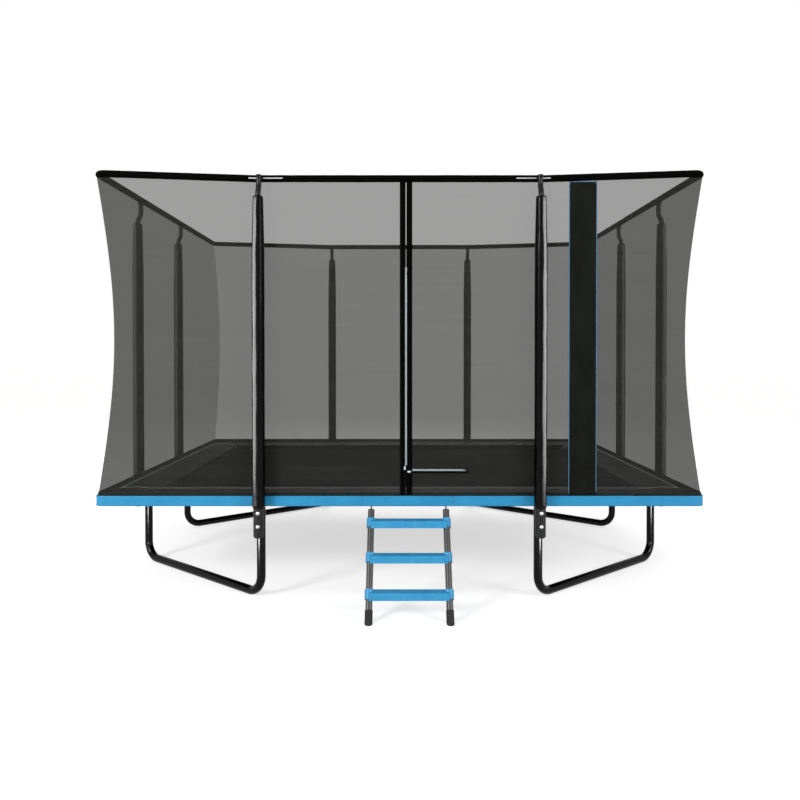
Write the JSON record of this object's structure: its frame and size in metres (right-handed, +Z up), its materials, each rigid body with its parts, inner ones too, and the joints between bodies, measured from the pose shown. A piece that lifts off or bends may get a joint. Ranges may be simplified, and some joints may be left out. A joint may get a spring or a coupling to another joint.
{
  "type": "trampoline",
  "caption": "Rectangular garden trampoline with padded poles, a net enclosure with a zipped corner door, U-shaped legs and a hook-on ladder.",
  "frame": {"origin": "on the floor, at the centre of the whole footprint, from the ladder's feet to the back poles", "axes": "+Z up, the door and the ladder face -Y, the long side runs along X"},
  "size_m": [3.1768, 2.5186, 2.14],
  "materials": {
    "black_steel": "gloss black paint",
    "black_plastic": "matte",
    "zinc": "zinc plated",
    "pale_tube": "light grey paint",
    "foam_black": "foam in a black cover",
    "net": "woven mesh",
    "strip_black": "matte woven",
    "banner_dark": "matte woven",
    "pad_black": "coated cloth",
    "band_blue": "coated cloth",
    "mat_black": "woven, matte",
    "ladder_grey": "gloss dark grey paint",
    "step_blue": "moulded",
    "rubber_black": "matte"
  },
  "bodies": {
    "frame": {"rail_front": "black_steel", "rail_back": "black_steel", "rail_sides": "black_steel", "rail_corner_fl": "black_steel", "rail_corner_fr": "black_steel", "rail_corner_bl": "black_steel", "rail_corner_br": "black_steel", "tee_joints": "black_steel", "leg_fl": "black_steel", "leg_fr": "black_steel", "leg_bl": "black_steel", "leg_br": "black_steel", "pole_front_l": "black_steel", "pole_front_r": "black_steel", "pole_back_l": "black_steel", "pole_back_r": "black_steel", "pole_left_f": "black_steel", "pole_left_b": "black_steel", "pole_right_f": "black_steel", "pole_right_b": "black_steel", "foam_front": "foam_black", "foam_back": "foam_black", "foam_left": "foam_black", "foam_right": "foam_black", "pole_boots": "black_plastic", "pole_bolts": "zinc", "pole_caps": "black_plastic", "top_bolts": "zinc", "top_rail_front": "pale_tube", "top_rail_back": "pale_tube", "top_rail_left": "pale_tube", "top_rail_right": "pale_tube", "top_elbows": "pale_tube", "top_hem": "strip_black", "net_front_l": "net", "net_front_r": "net", "net_left": "net", "net_right": "net", "net_back": "net", "zip_strips": "strip_black", "banner": "banner_dark", "pad_front": "pad_black", "pad_back": "pad_black", "pad_left": "pad_black", "pad_right": "pad_black", "edge_band": "band_blue", "springs": "zinc"},
    "mat": {"jump_mat": "mat_black", "mat_webbing": "mat_black", "v_rings": "zinc"},
    "door": {"door_flap": "net"},
    "upright_slider": {"zip_slider_up": "zinc"},
    "sill_slider": {"zip_slider_side": "zinc"},
    "ladder": {"stile_left": "ladder_grey", "stile_right": "ladder_grey", "step_low": "step_blue", "step_mid": "step_blue", "step_high": "step_blue", "stile_feet": "rubber_black"},
    "loose_band": {"band_flap": "band_blue"}
  },
  "joints": [
    {"name": "mat_bounce", "type": "slide", "parent": "frame", "child": "mat", "axis": [0, 0, 1], "range_m": [-0.25, 0], "stiffness_N_per_m": 5000, "springref_m": 0.05, "deforming": ["springs"]},
    {"name": "door_fold", "type": "hinge", "parent": "frame", "child": "door", "pos_m": [0.033, -0.92093, 1.655], "axis": [-0.2847, 0, 0.9586], "range_deg": [0, 150]},
    {"name": "zip_up", "type": "slide", "parent": "frame", "child": "upright_slider", "axis": [0, 0, 1], "range_m": [0, 0.99]},
    {"name": "zip_side", "type": "slide", "parent": "frame", "child": "sill_slider", "axis": [1, 0, 0], "range_m": [0, 0.28]},
    {"name": "ladder_swing", "type": "hinge", "parent": "frame", "child": "ladder", "pos_m": [0.045, -0.90718, 0.4851], "axis": [-1, 0, 0], "range_deg": [0, 50]},
    {"name": "band_lift", "type": "hinge", "parent": "frame", "child": "loose_band", "pos_m": [0.045, -0.93418, 0.515], "axis": [-1, 0, 0], "range_deg": [0, 80]}
  ],
  "couplings": [
    {"joint": "band_lift", "follows": "ladder_swing", "ratio": 1.6}
  ]
}
